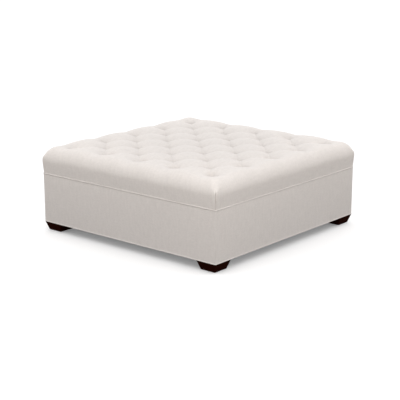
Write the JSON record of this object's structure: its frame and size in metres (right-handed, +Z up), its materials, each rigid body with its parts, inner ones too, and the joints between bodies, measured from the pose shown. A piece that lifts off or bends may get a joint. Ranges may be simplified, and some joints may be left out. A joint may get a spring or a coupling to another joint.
{
  "type": "tufted ottoman coffee table",
  "caption": "Large square upholstered cocktail ottoman with a deep diamond-tufted top, welted seam, flat sides and tapered dark wood block feet.",
  "frame": {"origin": "on the floor under the middle of the ottoman", "axes": "+Z up, +X to the right and +Y to the back, seen from the side that is called the front"},
  "size_m": [1.228, 1.228, 0.478],
  "materials": {
    "cover_fabric": "pale greige linen-like plain weave, matte",
    "filling": "polyurethane foam and polyester wadding",
    "twine": "waxed tufting twine",
    "plywood": "raw plywood",
    "softwood": "raw softwood",
    "dark_wood": "dark espresso stain, satin lacquer",
    "steel": "zinc-plated",
    "dust_cloth": "black non-woven dust cloth",
    "glide_plastic": "moulded plastic glide"
  },
  "bodies": {
    "root": {"base_cover_back": "cover_fabric", "base_cover_front": "cover_fabric", "base_cover_left": "cover_fabric", "base_cover_right": "cover_fabric", "base_padding_back": "filling", "base_padding_front": "filling", "base_padding_left": "filling", "base_padding_right": "filling", "corner_block_back_left": "softwood", "corner_block_back_right": "softwood", "corner_block_front_left": "softwood", "corner_block_front_right": "softwood", "corner_post_back_left": "softwood", "corner_post_back_right": "softwood", "corner_post_front_left": "softwood", "corner_post_front_right": "softwood", "deck_board": "plywood", "deck_joist_left": "softwood", "deck_joist_right": "softwood", "deck_screws": "steel", "dust_cover": "dust_cloth", "dust_cover_staples": "steel", "floor_glides": "glide_plastic", "foam_slab": "filling", "foot_back_left": "dark_wood", "foot_back_right": "dark_wood", "foot_front_left": "dark_wood", "foot_front_right": "dark_wood", "frame_screws": "steel", "hanger_bolts": "steel", "hem_welt": "cover_fabric", "lower_rail_back": "softwood", "lower_rail_front": "softwood", "lower_rail_left": "softwood", "lower_rail_right": "softwood", "seam_welt": "cover_fabric", "side_panel_back": "plywood", "side_panel_front": "plywood", "side_panel_left": "plywood", "side_panel_right": "plywood", "side_stud_back": "softwood", "side_stud_front": "softwood", "side_stud_left": "softwood", "side_stud_right": "softwood", "t_nuts": "steel", "top_cover": "cover_fabric", "top_wadding": "filling", "tuft_buttons": "cover_fabric", "tuft_twines": "twine", "tuft_washers": "steel", "upper_rail_back": "softwood", "upper_rail_front": "softwood", "upper_rail_left": "softwood", "upper_rail_right": "softwood"}
  },
  "joints": []
}
